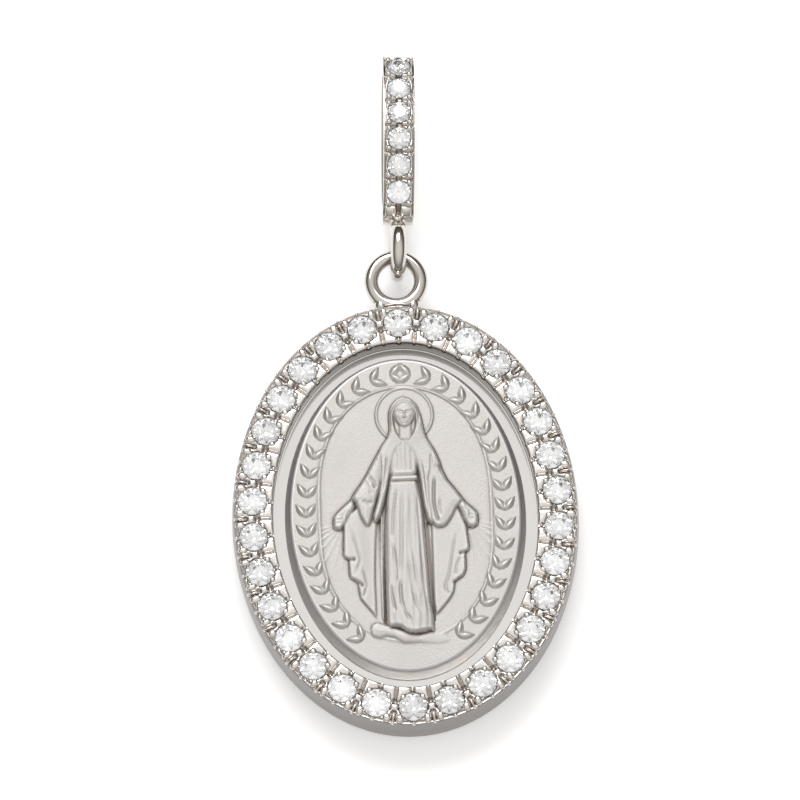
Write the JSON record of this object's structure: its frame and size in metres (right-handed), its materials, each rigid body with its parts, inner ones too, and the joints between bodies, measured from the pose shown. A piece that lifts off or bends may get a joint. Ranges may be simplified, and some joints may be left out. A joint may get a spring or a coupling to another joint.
{
  "type": "religious medal pendant",
  "caption": "Oval white gold pendant: a struck medal with a robed standing figure in a stone-set frame, hung by an eye and a loop from a stone-set chain bail.",
  "frame": {"origin": "under the middle of the whole pendant's box, on the plane that the frame's back rim rests on", "axes": "+Y from the oval towards the bail, +Z out of the medal's face, +X to the right seen from the face"},
  "size_m": [0.0166, 0.0338, 0.0038],
  "materials": {
    "polished_white_gold": "mirror polished, rhodium-like white gold",
    "matt_white_gold": "fine matt struck surface, relief slightly brighter",
    "clear_stone": "clear faceted round brilliants"
  },
  "bodies": {
    "root": {"halo_frame": "polished_white_gold", "medal": "matt_white_gold", "bail": "polished_white_gold", "halo_stone_01": "clear_stone", "halo_stone_02": "clear_stone", "halo_stone_03": "clear_stone", "halo_stone_04": "clear_stone", "halo_stone_05": "clear_stone", "halo_stone_06": "clear_stone", "halo_stone_07": "clear_stone", "halo_stone_08": "clear_stone", "halo_stone_09": "clear_stone", "halo_stone_10": "clear_stone", "halo_stone_11": "clear_stone", "halo_stone_12": "clear_stone", "halo_stone_13": "clear_stone", "halo_stone_14": "clear_stone", "halo_stone_15": "clear_stone", "halo_stone_16": "clear_stone", "halo_stone_17": "clear_stone", "halo_stone_18": "clear_stone", "halo_stone_19": "clear_stone", "halo_stone_20": "clear_stone", "halo_stone_21": "clear_stone", "halo_stone_22": "clear_stone", "halo_stone_23": "clear_stone", "halo_stone_24": "clear_stone", "halo_stone_25": "clear_stone", "halo_stone_26": "clear_stone", "halo_stone_27": "clear_stone", "halo_stone_28": "clear_stone", "halo_stone_29": "clear_stone", "halo_stone_30": "clear_stone", "bail_stone_1": "clear_stone", "bail_stone_2": "clear_stone", "bail_stone_3": "clear_stone", "bail_stone_4": "clear_stone", "bail_stone_5": "clear_stone", "bail_stone_6": "clear_stone"}
  },
  "joints": []
}
